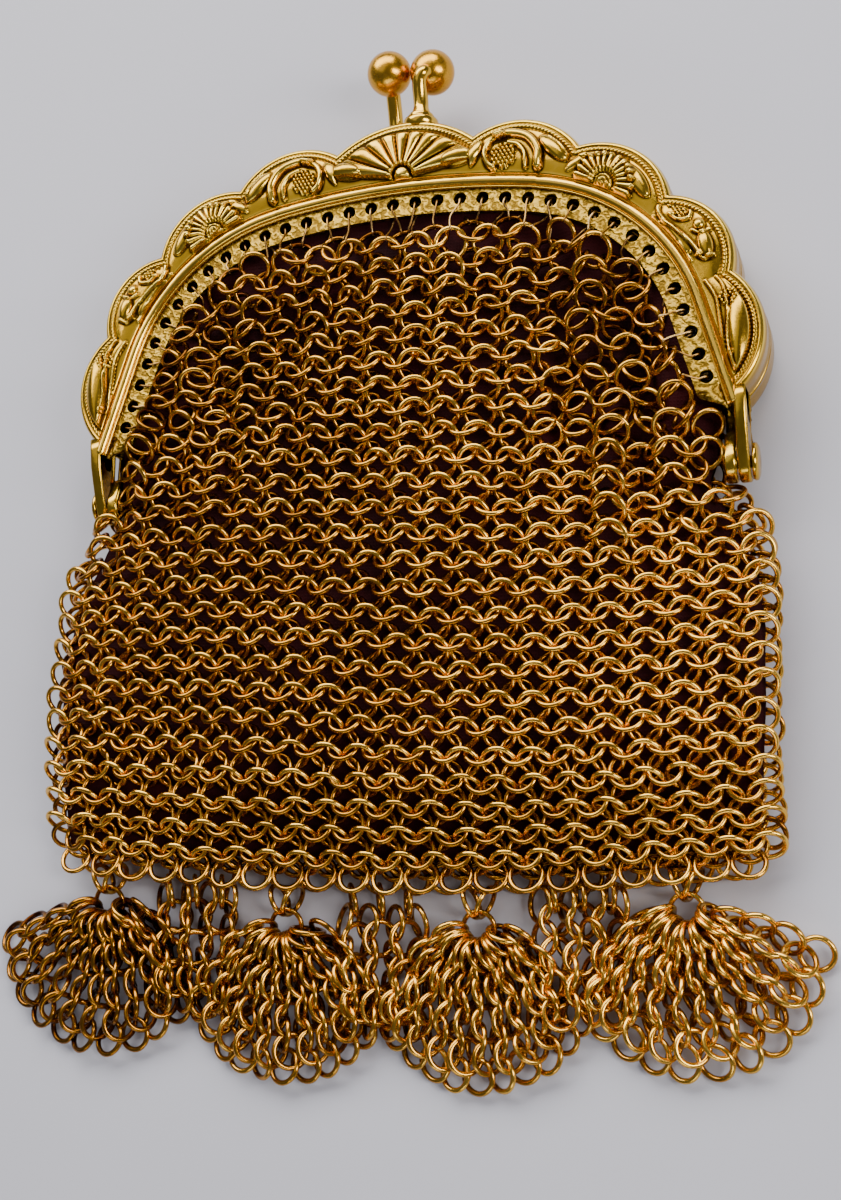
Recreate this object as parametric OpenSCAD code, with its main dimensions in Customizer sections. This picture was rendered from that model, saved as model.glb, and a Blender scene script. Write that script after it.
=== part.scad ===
/* [Frame] */
// Thickness of the stamped face plate of each half
plate_t = 0.8; // [0.6:0.1:1.0]
// Thickness of the skirt wall round the scallops
skirt_t = 0.7; // [0.5:0.1:0.9]
// Diameter of the sewing holes
hole_d = 1.25; // [1.0:0.05:1.4]
// Height of one closed half, from the parting plane to its face
half_h = 4.4; // [4.2:0.1:4.6]

/* [Clasp] */
// Diameter of each clasp ball
ball_d = 4.8; // [4.2:0.1:5.0]
// Diameter of the clasp posts
post_d = 1.5; // [1.2:0.1:1.8]

/* [Hinge] */
// Diameter of the hinge rivets
rivet_d = 1.2; // [1.0:0.1:1.6]
// Diameter of the outer rivet heads
rivet_head_d = 3.6; // [3.0:0.1:3.8]

/* [Mesh] */
// Wire of the link and hub rings
wire_d = 0.5; // [0.4:0.05:0.6]
// Thickness of one sheet of ring mesh
mesh_t = 2.1; // [2.0:0.1:2.4]
// Radius of each fan of the fringe
fan_r = 15.2; // [13.0:0.1:16.0]

/* [Hidden] */
$fn = 96;
eps = 0.01;

// colours
gilt = [0.86, 0.68, 0.24];
polished = [0.93, 0.76, 0.32];
matt = [0.75, 0.58, 0.22];
bronze = [0.62, 0.44, 0.18];
dark = [0.45, 0.31, 0.14];
maroon = [0.22, 0.03, 0.05];

// the parting plane and hinge axis lie this far above the rest plane
axis_z = 4.8;
// half the slit left between the closed halves
part_gap = 0.1;

// line of sewing holes: a flat top arc, two corner arcs and two straight sides
top_r = 80;
top_y = 29.78;
top_half_deg = 10.1;
corner_r = 19.2;
corner_x = 10.62;
corner_y = 9.59;
side_deg = 17;
side_len = 14;
holes_a_side = 18;
hole_pitch = 2.45;

// distances from the line of holes
strip_in = -1.4;
strip_out = 1.0;
rib_out = 2.4;
mesh_out = -2.9;

// where the lower ends of the arch pieces stop
strip_foot = 4.9;
rib_foot = 6.6;
shell_foot = 6.6;
mesh_foot = 5.2;

// cloth lining behind the mesh
lining_out = -1.6;
lining_t = 0.25;
lining_gap = 0.05;

// heights above the parting plane
strip_z = 2.6;
strip_t = 0.6;
rib_z = 2.6;
rib_top_drop = 0.3;

// scallops: x, y, radius
s1 = [0, 26.7, 12.2];
s2 = [11.84, 29.15, 8.29];
s3 = [20.06, 25.66, 8.07];
s4 = [27.0, 19.8, 7.26];
s5 = [28.85, 12.1, 8.1];

// hinge ears
ear_r = 2.0;
ear_t = 1.0;
ear_x = 33.9;
ear_gap = 0.2;
ear_arm_top = 9.5;
ear_joggle_y = 3.0;
ear_joggle_top = 4.7;
bore_clear = 0.04;
head_t = 0.6;
tail_d = 2.2;
tail_t = 0.4;

// clasp
collar_d = 3.8;
collar_t = 1.3;
collar_sink = 0.45;
collar_y = 38.75;
front_collar_x = 1.35;
back_collar_x = -2.5;
collar_z = 2.2;
front_post_rise = 2.2;
back_post_rise = 1.6;
front_ball_at = [2.3, 45.55, 1.2];
back_ball_at = [-3.1, 46.15, 1.2];

// pouch of mesh below the hinges
drape_x = -1.0;
pouch_top = -6.1;
pouch_bottom = -38.9;
pouch_mid_y = -23;
pouch_half_w = 39.8;
pouch_bulge_r = 37.5;
pouch_bottom_r = 500;
pouch_wall = 1.4;
pouch_half_h = 4.8;
neck_half_w = 29.5;
neck_reach = 6;

// fringe
fringe_axis_y = -40.5;
fringe_z = 0.1;
fringe_t = 2.7;
ring_z = 1.6;
hub_pitch = 20.3;
hub_mid_x = -2.7;
hub_outer_y = -42.3;
hub_inner_y = -44.3;
hub_ring_r = 1.6;
hub_hole_r = 2.3;
link_r = 1.3;
link_rise = 2.2;
link_side = 0.95;
fan_neck = 7.0;
fan_half = 10.05;
fan_outer = 13.8;
fan_full_y = -9;
fan_rise = 1.4;
web_gap = 0.15;
web_top_rise = 2.6;
web_end = -10.2;

// a straight rod between two points
module rod(p, q, d) {
    v = q - p;
    len = norm(v);
    translate(p)
        rotate([0, acos(v[2] / len), atan2(v[1], v[0])])
            cylinder(d = d, h = len);
}

// a torus in the XY plane
module ring(r, d) {
    rotate_extrude()
        translate([r, 0])
            circle(d = d, $fn = 24);
}

// the filled arch, its edge a distance d outside the line of holes
module arch_fill(d, foot) {
    reach = 60;
    tx = corner_x + (corner_r + d) * cos(side_deg);
    ty = corner_y + (corner_r + d) * sin(side_deg);
    bx = tx + side_len * sin(side_deg);
    by = ty - side_len * cos(side_deg);
    intersection() {
        union() {
            intersection() {
                translate([0, top_y - top_r])
                    circle(r = top_r + d, $fn = 360);
                polygon([[-corner_x, corner_y],
                    [-corner_x - reach * sin(top_half_deg), corner_y + reach * cos(top_half_deg)],
                    [corner_x + reach * sin(top_half_deg), corner_y + reach * cos(top_half_deg)],
                    [corner_x, corner_y]]);
            }
            for (side = [-1, 1])
                translate([side * corner_x, corner_y])
                    circle(r = corner_r + d, $fn = 144);
            polygon([[-bx, by], [-tx, ty], [-corner_x, corner_y], [corner_x, corner_y],
                [tx, ty], [bx, by]]);
        }
        translate([-reach, foot])
            square([2 * reach, reach]);
    }
}

// the scalloped outline, drawn in by a distance
module scallops(inset) {
    translate([s1[0], s1[1]])
        circle(r = s1[2] - inset);
    for (side = [-1, 1])
        for (s = [s2, s3, s4, s5])
            translate([side * s[0], s[1]])
                circle(r = s[2] - inset);
}

// where hole i of one side lies on the line of holes, counted from the middle
function hole_at(i) =
    let (run = (i + 0.5) * hole_pitch,
        top_len = top_r * top_half_deg * PI / 180,
        corner_deg = 90 - top_half_deg - side_deg,
        corner_len = corner_r * corner_deg * PI / 180,
        a = run / top_r * 180 / PI,
        b = 90 - top_half_deg - (run - top_len) / corner_r * 180 / PI,
        c = run - top_len - corner_len)
    run < top_len ? [top_r * sin(a), top_y - top_r + top_r * cos(a)]
        : run < top_len + corner_len
        ? [corner_x + corner_r * cos(b), corner_y + corner_r * sin(b)]
        : [corner_x + corner_r * cos(side_deg) + c * sin(side_deg),
            corner_y + corner_r * sin(side_deg) - c * cos(side_deg)];

// direction from hole i towards the middle of the opening
function inward(i) =
    let (p = hole_at(i), q = [0.35 * p[0], corner_y - 2])
    (q - p) / norm(q - p);

// one half of the frame, face upwards above the parting plane
module half_plate() {
    translate([0, 0, half_h - plate_t])
        linear_extrude(plate_t)
            difference() {
                intersection() {
                    scallops(0);
                    translate([-50, shell_foot])
                        square([100, 50]);
                }
                arch_fill(rib_out, 0);
            }
    translate([0, 0, part_gap])
        linear_extrude(half_h - plate_t - part_gap)
            difference() {
                intersection() {
                    scallops(0);
                    translate([-50, shell_foot])
                        square([100, 50]);
                }
                scallops(skirt_t);
                arch_fill(rib_out, 0);
            }
}

// leg of one half beside a hinge, its plate between x0 and x0 + ear_t
module leg(side, y0, y1, x0) {
    difference() {
        translate([side > 0 ? x0 : -x0 - ear_t, y0, part_gap])
            cube([ear_t, y1 - y0, half_h - part_gap - 0.2]);
        translate([0, 0, -1])
            linear_extrude(half_h + 2)
                arch_fill(rib_out, rib_foot);
    }
}

module front_frame() {
    color(gilt)
        translate([0, 0, axis_z])
            difference() {
                union() {
                    half_plate();
                    for (side = [-1, 1]) {
                        leg(side, 0, ear_arm_top, ear_x);
                        translate([side > 0 ? ear_x : -ear_x - ear_t, 0, 0])
                            rotate([0, 90, 0])
                                cylinder(r = ear_r, h = ear_t);
                    }
                }
                translate([-50, 0, 0])
                    rotate([0, 90, 0])
                        cylinder(d = rivet_d + 2 * bore_clear, h = 100);
            }
}

module back_frame() {
    inner_x = ear_x - ear_gap - ear_t;
    color(gilt)
        translate([0, 0, axis_z])
            mirror([0, 0, 1])
                difference() {
                    union() {
                        half_plate();
                        for (side = [-1, 1]) {
                            leg(side, ear_joggle_y, ear_arm_top, ear_x);
                            leg(side, 0, ear_joggle_top, inner_x);
                            leg(side, ear_joggle_y, ear_joggle_top, inner_x + ear_t - 0.4);
                            translate([side > 0 ? inner_x : -inner_x - ear_t, 0, 0])
                                rotate([0, 90, 0])
                                    cylinder(r = ear_r, h = ear_t);
                        }
                    }
                    translate([-50, 0, 0])
                        rotate([0, 90, 0])
                            cylinder(d = rivet_d + 2 * bore_clear, h = 100);
                }
}

// plain polished rib between the scallops and the sewing strip
module half_rib() {
    translate([0, 0, rib_z])
        linear_extrude(half_h - rib_top_drop - rib_z)
            difference() {
                arch_fill(rib_out, rib_foot);
                arch_fill(strip_out, 0);
            }
}

// recessed strip with the sewing holes
module half_strip() {
    difference() {
        translate([0, 0, strip_z])
            linear_extrude(strip_t)
                difference() {
                    arch_fill(strip_out, strip_foot);
                    arch_fill(strip_in, 0);
                }
        for (side = [-1, 1])
            for (i = [0 : holes_a_side - 1])
                translate([side * hole_at(i)[0], hole_at(i)[1], strip_z - 1])
                    cylinder(d = hole_d, h = strip_t + 2, $fn = 32);
    }
}

// sewing wires from the holes to the edge of the mesh
module half_wires() {
    for (side = [-1, 1])
        for (i = [0 : holes_a_side - 2]) {
            p = hole_at(i);
            u = inward(i);
            a = p + 0.2 * u;
            b = p + 2.7 * u;
            rod([side * a[0], a[1], strip_z + 1.0], [side * b[0], b[1], strip_z + 1.2], 0.3);
        }
}

// sheet of mesh sewn into one half
module half_mesh() {
    translate([0, 0, axis_z - 0.1 - mesh_t])
        linear_extrude(mesh_t)
            arch_fill(mesh_out, mesh_foot);
}

// sheet of lining under the mesh of one half
module half_lining() {
    translate([0, 0, axis_z - 0.1 - mesh_t - lining_t])
        linear_extrude(lining_t)
            arch_fill(lining_out, mesh_foot);
}

// turned collar, its foot cut to sit on the middle scallop
module half_collar(x) {
    difference() {
        translate([x, collar_y - collar_sink, collar_z])
            rotate([-90, 0, 0])
                cylinder(d = collar_d, h = collar_t + collar_sink);
        translate([s1[0], s1[1], 0])
            cylinder(r = s1[2], h = 2 * half_h);
    }
}

// post from its collar to its ball, bent once
module half_post(x, level, rise, ball_at) {
    foot = [x, collar_y + collar_t, level];
    knee = foot + [0, rise, 0];
    v = ball_at - knee;
    stop = knee + v * (1 - ball_d / 2 / norm(v));
    rod(foot, knee, post_d);
    translate(knee)
        sphere(d = 1.1 * post_d, $fn = 48);
    rod(knee, stop, post_d);
}

module half_ball(ball_at) {
    translate(ball_at)
        sphere(d = ball_d);
}

module front_rib() {
    color(polished)
        translate([0, 0, axis_z])
            half_rib();
}

module back_rib() {
    color(polished)
        translate([0, 0, axis_z])
            mirror([0, 0, 1])
                half_rib();
}

module front_sewing_strip() {
    color(matt)
        translate([0, 0, axis_z])
            half_strip();
}

module back_sewing_strip() {
    color(matt)
        translate([0, 0, axis_z])
            mirror([0, 0, 1])
                half_strip();
}

module front_sewing_wires() {
    color(polished)
        translate([0, 0, axis_z])
            half_wires();
}

module back_sewing_wires() {
    color(polished)
        translate([0, 0, axis_z])
            mirror([0, 0, 1])
                half_wires();
}

module front_mesh() {
    color(bronze)
        translate([0, 0, axis_z])
            half_mesh();
}

module front_lining() {
    color(maroon)
        translate([0, 0, axis_z])
            half_lining();
}

module front_collar() {
    color(gilt)
        translate([0, 0, axis_z])
            half_collar(front_collar_x);
}

module back_collar() {
    color(gilt)
        translate([0, 0, axis_z])
            mirror([0, 0, 1])
                half_collar(back_collar_x);
}

module front_post() {
    color(polished)
        translate([0, 0, axis_z])
            half_post(front_collar_x, collar_z, front_post_rise, front_ball_at);
}

module back_post() {
    color(polished)
        translate([0, 0, axis_z])
            half_post(back_collar_x, -collar_z, back_post_rise, back_ball_at);
}

module front_ball() {
    color(polished)
        translate([0, 0, axis_z])
            half_ball(front_ball_at);
}

module back_ball() {
    color(polished)
        translate([0, 0, axis_z])
            half_ball(back_ball_at);
}

// rivet fixed in the back ear, the front ear turns on it
module rivet(side) {
    inner_x = ear_x - ear_gap - ear_t;
    translate([0, 0, axis_z])
        mirror([side > 0 ? 0 : 1, 0, 0])
            rotate([0, 90, 0]) {
                translate([0, 0, inner_x - tail_t])
                    cylinder(d = tail_d, h = tail_t);
                translate([0, 0, inner_x - eps])
                    cylinder(d = rivet_d, h = 2 * ear_t + ear_gap + 2 * eps + 0.1);
                translate([0, 0, ear_x + ear_t + 0.1])
                    cylinder(d = rivet_head_d, h = head_t);
            }
}

module left_rivet() {
    color(gilt)
        rivet(-1);
}

module right_rivet() {
    color(gilt)
        rivet(1);
}

// plan of the pouch, drawn in by a distance, running up to y1
module pouch_plan(inset, y1) {
    intersection() {
        union() {
            for (side = [-1, 1])
                translate([drape_x + side * (pouch_half_w - pouch_bulge_r), pouch_mid_y])
                    circle(r = pouch_bulge_r - inset, $fn = 180);
        }
        translate([drape_x, pouch_bottom + pouch_bottom_r])
            circle(r = pouch_bottom_r - inset, $fn = 720);
        translate([-60, -60])
            square([120, 60 + y1]);
    }
}

// the bag: a pouch open towards the clasp, its back sheet running on up into the back half
module mesh_bag() {
    cavity_h = 2 * (pouch_half_h - mesh_t);
    color(bronze) {
        linear_extrude(mesh_t)
            union() {
                arch_fill(mesh_out, mesh_foot);
                translate([-neck_half_w, -neck_reach])
                    square([2 * neck_half_w, 2 * neck_reach]);
            }
        difference() {
            linear_extrude(2 * pouch_half_h)
                pouch_plan(0, pouch_top);
            translate([0, 0, mesh_t])
                linear_extrude(cavity_h)
                    pouch_plan(pouch_wall, pouch_top + 1);
        }
    }
}

// cloth sleeve in the pouch, its back sheet running on up behind the back mesh
module lining() {
    cavity_h = 2 * (pouch_half_h - mesh_t);
    wall = pouch_wall + lining_gap;
    color(maroon) {
        translate([0, 0, mesh_t])
            linear_extrude(lining_t)
                union() {
                    arch_fill(lining_out, mesh_foot);
                    translate([-neck_half_w, -neck_reach])
                        square([2 * neck_half_w, 2 * neck_reach]);
                }
        difference() {
            translate([0, 0, mesh_t])
                linear_extrude(cavity_h)
                    pouch_plan(wall, pouch_top);
            translate([0, 0, mesh_t + lining_t])
                linear_extrude(cavity_h - 2 * lining_t)
                    pouch_plan(wall + lining_t, pouch_top + 1);
        }
    }
}

// hub i, 0 to 3 from left to right
function hub_at(i) = [hub_mid_x + (i - 1.5) * hub_pitch, (i == 0 || i == 3) ? hub_outer_y : hub_inner_y];

module hub_rings() {
    color(bronze)
        for (i = [0 : 3])
            translate([hub_at(i)[0], hub_at(i)[1], ring_z])
                ring(hub_ring_r, wire_d);
}

// two rings standing on edge tie each hub to the bag
module link_rings() {
    color(bronze)
        for (i = [0 : 3])
            for (side = [-1, 1])
                translate([hub_at(i)[0] + side * link_side, hub_at(i)[1] + link_rise, ring_z])
                    rotate([0, 0, -side * 14])
                        rotate([0, 90, 0])
                            ring(link_r, wire_d);
}

// one fan: left and right are its half widths at full spread
module fan(i, left, right) {
    translate([hub_at(i)[0], hub_at(i)[1], fringe_z])
        linear_extrude(fringe_t)
            difference() {
                intersection() {
                    circle(r = fan_r);
                    polygon([[-fan_neck, fan_rise], [-left, fan_full_y], [-left, -20],
                        [right, -20], [right, fan_full_y], [fan_neck, fan_rise]]);
                }
                circle(r = hub_hole_r, $fn = 48);
                translate([-fan_neck / 2, 0])
                    square([fan_neck, 10]);
            }
}

module fan_1() {
    color(dark)
        fan(0, fan_outer, fan_half);
}

module fan_2() {
    color(bronze)
        fan(1, fan_half, fan_half);
}

module fan_3() {
    color(bronze)
        fan(2, fan_half, fan_half);
}

module fan_4() {
    color(bronze)
        fan(3, fan_half, fan_outer);
}

// chains that fill the space between two fans, hung from the bag
module web(i) {
    a = hub_at(i);
    b = hub_at(i + 1);
    top = min(a[1], b[1]) + web_top_rise;
    translate([0, 0, fringe_z])
        linear_extrude(fringe_t)
            polygon([[a[0] + fan_neck + web_gap, a[1] + fan_rise],
                [a[0] + fan_half + web_gap / 2, a[1] + fan_full_y],
                [b[0] - fan_half - web_gap / 2, b[1] + fan_full_y],
                [b[0] - fan_neck - web_gap, b[1] + fan_rise],
                [b[0] - fan_neck - 1, top],
                [a[0] + fan_neck + 1, top]]);
}

module web_1() {
    color(dark)
        web(0);
}

module web_2() {
    color(bronze)
        web(1);
}

module web_3() {
    color(bronze)
        web(2);
}

back_frame();
back_rib();
back_sewing_strip();
back_collar();
back_post();
back_ball();
back_sewing_wires();
mesh_bag();
lining();
left_rivet();
right_rivet();
front_frame();
front_rib();
front_sewing_strip();
front_collar();
front_post();
front_ball();
front_sewing_wires();
front_mesh();
front_lining();
link_rings();
hub_rings();
fan_1();
fan_2();
fan_3();
fan_4();
web_1();
web_2();
web_3();
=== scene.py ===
import math

import bpy
import numpy as np
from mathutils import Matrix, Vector


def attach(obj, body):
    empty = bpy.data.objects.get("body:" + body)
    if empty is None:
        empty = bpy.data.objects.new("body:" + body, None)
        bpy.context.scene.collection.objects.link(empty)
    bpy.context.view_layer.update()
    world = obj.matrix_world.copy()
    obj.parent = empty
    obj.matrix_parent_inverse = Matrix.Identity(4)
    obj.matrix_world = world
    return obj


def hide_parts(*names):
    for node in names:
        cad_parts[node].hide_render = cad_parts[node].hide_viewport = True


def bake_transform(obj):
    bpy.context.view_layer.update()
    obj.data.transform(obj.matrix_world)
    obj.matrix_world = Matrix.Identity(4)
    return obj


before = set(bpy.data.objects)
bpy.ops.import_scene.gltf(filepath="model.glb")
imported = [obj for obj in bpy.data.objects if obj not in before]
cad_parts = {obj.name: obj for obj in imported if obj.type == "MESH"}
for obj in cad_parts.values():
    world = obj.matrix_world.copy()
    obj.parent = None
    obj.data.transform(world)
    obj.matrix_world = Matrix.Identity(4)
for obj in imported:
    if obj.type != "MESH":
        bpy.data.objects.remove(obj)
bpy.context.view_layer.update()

# ---- sizes, in millimetres
MM = 0.001
AXIS_Z = 4.8            # hinge axis and parting plane above the table
TOP_R, TOP_Y, TOP_DEG = 80.0, 29.78, 10.1
COR_R, COR_X, COR_Y = 19.2, 10.62, 9.59
SIDE_DEG = 17.0
HOLES, HOLE_PITCH, HOLE_R = 18, 2.45, 0.65
STRIP_IN, STRIP_OUT, RIB_OUT = -1.4, 1.0, 2.4
STRIP_TOP = 3.2
SCALLOPS = [(0.0, 26.7, 12.2), (11.84, 29.15, 8.29), (20.06, 25.66, 8.07),
            (27.0, 19.8, 7.26), (28.85, 12.1, 8.1)]
RING_R, WIRE_R = 1.58, 0.265
PITCH, ROW_STEP = 3.52, 1.27
TILT = math.radians(32)
YAW = math.radians(3)
PAIR = 0.075            # how far the two rows of a ridge draw together
RING_SEG, RING_SIDES = 26, 8
FACE_Z, UNDER_Z = 3.15, 2.95    # stamped face and its underside, above the parting plane
STRIP_UNDER = 2.62


# ---- mesh helpers
def smoothstep(a, b, x):
    t = np.clip((np.asarray(x, float) - a) / (b - a), 0, 1)
    return t * t * (3 - 2 * t)


def unit(v):
    return v / np.maximum(np.linalg.norm(v, axis=-1, keepdims=True), 1e-12)


def build(name, verts, faces, mat, attrs=None, smooth=True):
    """A mesh object from points in millimetres and one array of faces, or a list of them."""
    me = bpy.data.meshes.new(name)
    verts = np.asarray(verts, float).reshape(-1, 3) * MM
    groups = faces if isinstance(faces, list) else [faces]
    groups = [np.asarray(f, np.int32) for f in groups if len(f)]
    loops = np.concatenate([f.ravel() for f in groups])
    counts = np.concatenate([np.full(len(f), f.shape[1], np.int32) for f in groups])
    starts = np.concatenate([[0], np.cumsum(counts)[:-1]]).astype(np.int32)
    me.vertices.add(len(verts))
    me.vertices.foreach_set("co", verts.astype(np.float32).ravel())
    me.loops.add(len(loops))
    me.loops.foreach_set("vertex_index", loops)
    me.polygons.add(len(counts))
    me.polygons.foreach_set("loop_start", starts)
    me.update(calc_edges=True)
    me.validate()
    if smooth:
        me.polygons.foreach_set("use_smooth", np.ones(len(me.polygons), bool))
    for key, values in (attrs or {}).items():
        a = me.attributes.new(key, "FLOAT", "POINT")
        a.data.foreach_set("value", np.asarray(values, np.float32).ravel())
    ob = bpy.data.objects.new(name, me)
    bpy.context.scene.collection.objects.link(ob)
    me.materials.append(mat)
    return ob


class Batch:
    """Collects pieces of mesh that share an object."""

    def __init__(self):
        self.v, self.f, self.a, self.n = [], [], [], 0

    def add(self, verts, faces, tone=0.5):
        verts = np.asarray(verts, float).reshape(-1, 3)
        self.v.append(verts)
        self.f += [np.asarray(f) + self.n for f in (faces if isinstance(faces, list) else [faces])]
        self.a.append(np.broadcast_to(np.asarray(tone, float), (len(verts),)))
        self.n += len(verts)

    def make(self, name, mat, smooth=True):
        sizes = sorted(set(f.shape[1] for f in self.f))
        faces = [np.concatenate([f for f in self.f if f.shape[1] == k]) for k in sizes]
        return build(name, np.concatenate(self.v), faces, mat, {"tone": np.concatenate(self.a)}, smooth)


def grid_faces(n, m, wrap_n=False, wrap_m=False):
    """Quads of an n by m grid of points, stored row by row."""
    i = np.arange(n if wrap_n else n - 1)
    j = np.arange(m if wrap_m else m - 1)
    i, j = np.meshgrid(i, j, indexing="ij")
    i2, j2 = (i + 1) % n, (j + 1) % m
    return np.stack([i * m + j, i2 * m + j, i2 * m + j2, i * m + j2], -1).reshape(-1, 4)


def tube_faces(n, m, turn=1):
    """Faces of an n by m tube of points, closed to the two points that come after them."""
    k = np.arange(m)
    nxt, end, last = (k + 1) % m, (n - 1) * m, n * m
    ends = [np.stack([np.full(m, last), nxt, k], 1), np.stack([np.full(m, last + 1), end + k, end + nxt], 1)]
    return [grid_faces(n, m, False, True)] + [f[:, ::turn] for f in ends]


def tori(c, a, b, radius, wire, phase, oval):
    """Points and faces of rings: centres c, axes a and b in their plane, and the points of one ring."""
    n = len(c)
    nrm = np.cross(a, b)
    ang = np.linspace(0, 2 * np.pi, RING_SEG, endpoint=False)[None] + phase[:, None]
    rad = np.cos(ang)[..., None] * a[:, None] + np.sin(ang)[..., None] * b[:, None]
    line = c[:, None] + (radius[:, None] * (1 + oval[:, None] * np.cos(2 * ang)))[..., None] * rad
    phi = np.linspace(0, 2 * np.pi, RING_SIDES, endpoint=False)
    skin = (np.cos(phi)[None, None, :, None] * rad[:, :, None]
            + np.sin(phi)[None, None, :, None] * nrm[:, None, None])
    pts = line[:, :, None] + wire * skin
    per = RING_SEG * RING_SIDES
    faces = grid_faces(RING_SEG, RING_SIDES, True, True)[None] + (np.arange(n) * per)[:, None, None]
    return pts.reshape(-1, 3), faces.reshape(-1, 4), per


def tube(path, radius, sides):
    """A closed tube along points; radius may be one number or one a point."""
    p = np.asarray(path, float)
    n = len(p)
    r = np.broadcast_to(np.asarray(radius, float), (n,))
    t = unit(np.gradient(p, axis=0))
    up = np.array([0.0, 0.0, 1.0]) if abs(t[0, 2]) < 0.9 else np.array([1.0, 0.0, 0.0])
    e = [unit(np.cross(t[0], up))]
    for k in range(1, n):
        e.append(unit(e[-1] - t[k] * (e[-1] @ t[k])))
    e = np.array(e)
    phi = np.linspace(0, 2 * np.pi, sides, endpoint=False)
    ring = np.cos(phi)[None, :, None] * e[:, None] + np.sin(phi)[None, :, None] * np.cross(t, e)[:, None]
    v = (p[:, None] + r[:, None, None] * ring).reshape(-1, 3)
    v = np.concatenate([v, [p[0]], [p[-1]]])
    return v, tube_faces(n, sides)


def length_along(x, y):
    """Distance along a line of points, from its first point."""
    return np.concatenate([[0], np.cumsum(np.hypot(np.diff(x), np.diff(y)))])


def spline(pts, n):
    """A smooth line through a few points (Catmull-Rom)."""
    p = np.asarray(pts, float)
    q = np.concatenate([[2 * p[0] - p[1]], p, [2 * p[-1] - p[-2]]])
    u = np.linspace(0, len(p) - 1 - 1e-9, n)
    k = u.astype(int)
    t = (u - k)[:, None]
    a, b, c, d = q[k], q[k + 1], q[k + 2], q[k + 3]
    return 0.5 * ((2 * b) + (c - a) * t + (2 * a - 5 * b + 4 * c - d) * t * t
                  + (3 * b - a - 3 * c + d) * t ** 3)


def lathe(profile, origin, axis, sides):
    """A turned piece: profile is (radius, height) points along axis from origin."""
    axis = unit(np.asarray(axis, float))
    side = unit(np.cross(axis, [0.3, 0.1, 1.0] if abs(axis[2]) < 0.9 else [1.0, 0.0, 0.0]))
    prof, origin = np.asarray(profile, float), np.asarray(origin, float)
    phi = np.linspace(0, 2 * np.pi, sides, endpoint=False)
    d = np.cos(phi)[:, None] * side + np.sin(phi)[:, None] * np.cross(axis, side)
    v = (origin + prof[:, None, 0:1] * d[None] + prof[:, None, 1:2] * axis).reshape(-1, 3)
    n = len(prof)
    v = np.concatenate([v, [origin + prof[0, 1] * axis], [origin + prof[-1, 1] * axis]])
    return v, tube_faces(n, sides)


def slab(outline, x0, x1, bevel):
    """A plate standing across X: outline is (y, z) points, its edges rounded."""
    o = np.asarray(outline, float)
    n = len(o)
    t = unit(np.roll(o, -1, 0) - np.roll(o, 1, 0))
    nrm = np.stack([t[:, 1], -t[:, 0]], 1)
    area = np.sum(o[:, 0] * np.roll(o[:, 1], -1) - np.roll(o[:, 0], -1) * o[:, 1])
    nrm *= 1 if area > 0 else -1
    edge = [(bevel * (1 - math.cos(a)), bevel * (1 - math.sin(a))) for a in (0, math.pi / 6, math.pi / 3)]
    rows = [(x0 + dx, inset) for dx, inset in edge] + [(x0 + bevel, 0), (x1 - bevel, 0)]
    rows += [(x1 - dx, inset) for dx, inset in reversed(edge)]
    v = np.concatenate([np.concatenate([np.full((n, 1), x), o - nrm * inset], 1) for x, inset in rows])
    m = len(rows)
    v = np.concatenate([v, [v[:n].mean(0)], [v[-n:].mean(0)]])
    return v, tube_faces(m, n)


def swept(sec, sign):
    """A section carried along the arch, with closed ends; sign -1 turns it face down."""
    n, m = sec.shape[:2]
    v = np.concatenate([sec.reshape(-1, 3), [sec[0].mean(0)], [sec[-1].mean(0)]])
    v[:, 2] = AXIS_Z + sign * v[:, 2]
    faces = tube_faces(n, m, -1)
    return v, faces if sign > 0 else [f[:, ::-1] for f in faces]


def place(ob, body, node):
    """Tie a piece to its body, and hide the CAD node that it stands for."""
    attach(ob, body)
    if node:
        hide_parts(node)


# ---- the line of sewing holes
TOP_LEN = TOP_R * math.radians(TOP_DEG)
COR_LEN = COR_R * math.radians(90 - TOP_DEG - SIDE_DEG)


def arch(s):
    """Points and outward directions on the line of holes, s running from the middle."""
    s = np.asarray(s, float)
    u, sign = np.abs(s), np.where(s < 0, -1.0, 1.0)
    a = np.radians(90) - u / TOP_R
    b = np.radians(90 - TOP_DEG) - (u - TOP_LEN) / COR_R
    e = math.radians(SIDE_DEG)
    c = u - TOP_LEN - COR_LEN
    top, cor = u < TOP_LEN, u < TOP_LEN + COR_LEN
    nx = np.where(top, np.cos(a), np.where(cor, np.cos(b), math.cos(e)))
    ny = np.where(top, np.sin(a), np.where(cor, np.sin(b), math.sin(e)))
    x = np.where(top, TOP_R * np.cos(a), COR_X + COR_R * nx + np.where(cor, 0, c * math.sin(e)))
    y = np.where(top, TOP_Y - TOP_R + TOP_R * np.sin(a),
                 COR_Y + COR_R * ny - np.where(cor, 0, c * math.cos(e)))
    return np.stack([sign * x, y], -1), np.stack([sign * nx, ny], -1)


def beside(p, n, w, z):
    """Points a distance w outward from points p of the line of holes, at height z."""
    x = p[..., 0] + w * n[..., 0]
    return np.stack([x, p[..., 1] + w * n[..., 1], np.broadcast_to(z, x.shape)], -1)


def arch_inside(x, y):
    """How far a point lies inside the line of holes."""
    x = np.abs(np.asarray(x, float))
    y = np.asarray(y, float)
    d_top = TOP_R - np.hypot(x, y - (TOP_Y - TOP_R))
    d_cor = COR_R - np.hypot(x - COR_X, y - COR_Y)
    e = math.radians(SIDE_DEG)
    tx, ty = COR_X + COR_R * math.cos(e), COR_Y + COR_R * math.sin(e)
    d_side = -((x - tx) * math.cos(e) + (y - ty) * math.sin(e))
    ang = np.degrees(np.arctan2(y - COR_Y, x - COR_X))
    in_top = (x < COR_X) | (ang > 90 - TOP_DEG)
    return np.where(in_top & (y > COR_Y - 40) & (ang > 0), d_top,
                    np.where(ang > SIDE_DEG, d_cor, np.minimum(d_side, 60)))


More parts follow.
